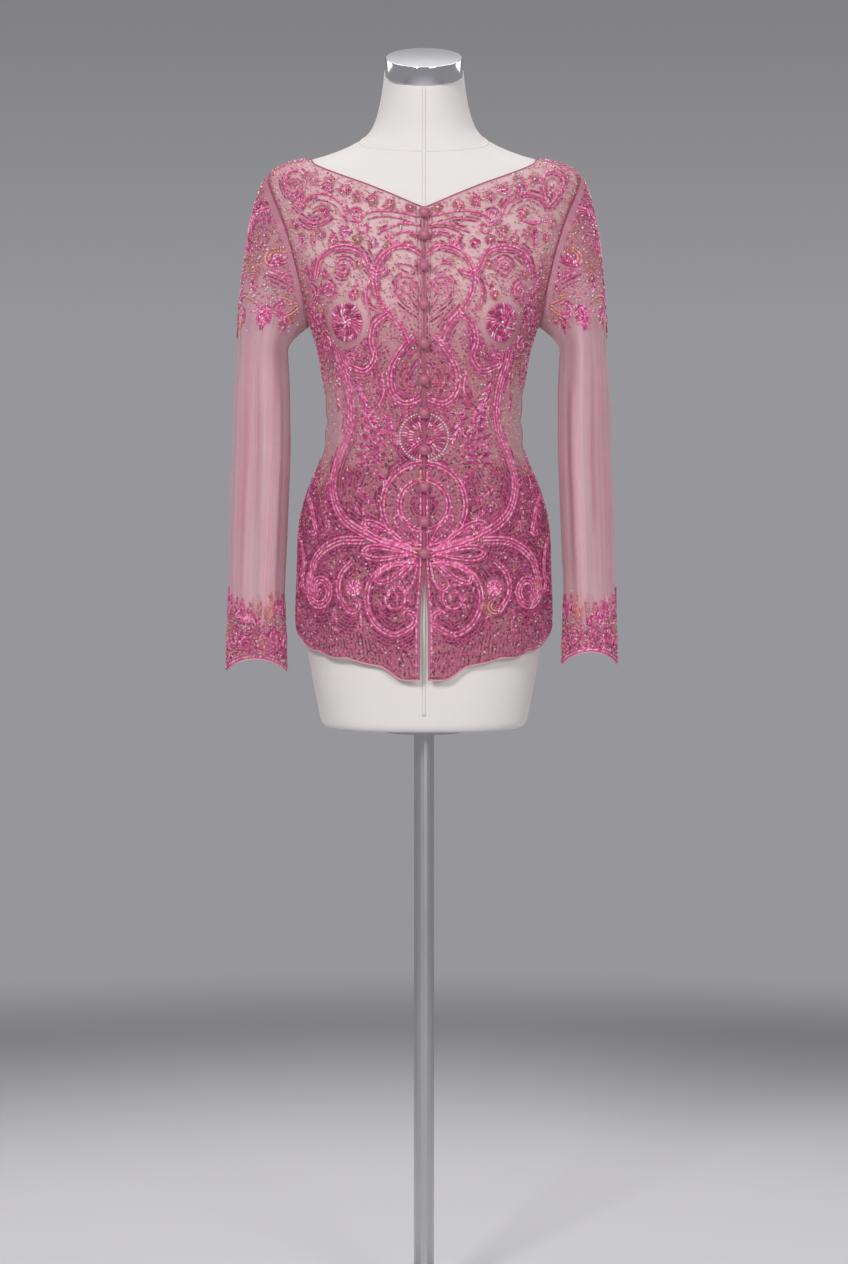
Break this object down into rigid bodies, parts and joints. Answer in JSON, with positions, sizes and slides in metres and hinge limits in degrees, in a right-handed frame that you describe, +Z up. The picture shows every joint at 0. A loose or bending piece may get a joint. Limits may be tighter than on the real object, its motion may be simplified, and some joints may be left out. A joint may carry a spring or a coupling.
{
  "type": "kebaya blouse on dress form",
  "caption": "Fitted long-sleeved beaded net blouse, buttoned down the front over a limbless dress form on a pole and round base.",
  "frame": {"origin": "on the floor, at the middle of the base's underside, on the pole's axis", "axes": "+Z up; the front faces -Y; +X is the wearer's left"},
  "size_m": [0.4674, 0.32, 1.5126],
  "materials": {
    "net": "fine net with sewn beads",
    "satin": "satin weave",
    "linen": "plain weave, matt",
    "chrome": "polished",
    "steel": "satin"
  },
  "bodies": {
    "root": {"form_torso": "linen", "neck_cap": "chrome", "stand_pole": "steel", "stand_base": "steel", "front_left": "net", "front_right": "net", "back": "net", "sleeve_left": "net", "sleeve_right": "net", "button_01": "satin", "loop_01": "satin", "button_02": "satin", "loop_02": "satin", "button_03": "satin", "loop_03": "satin", "button_04": "satin", "loop_04": "satin", "button_05": "satin", "loop_05": "satin", "button_06": "satin", "loop_06": "satin", "button_07": "satin", "loop_07": "satin", "button_08": "satin", "loop_08": "satin", "button_09": "satin", "loop_09": "satin", "button_10": "satin", "loop_10": "satin", "button_11": "satin", "loop_11": "satin"}
  },
  "joints": []
}
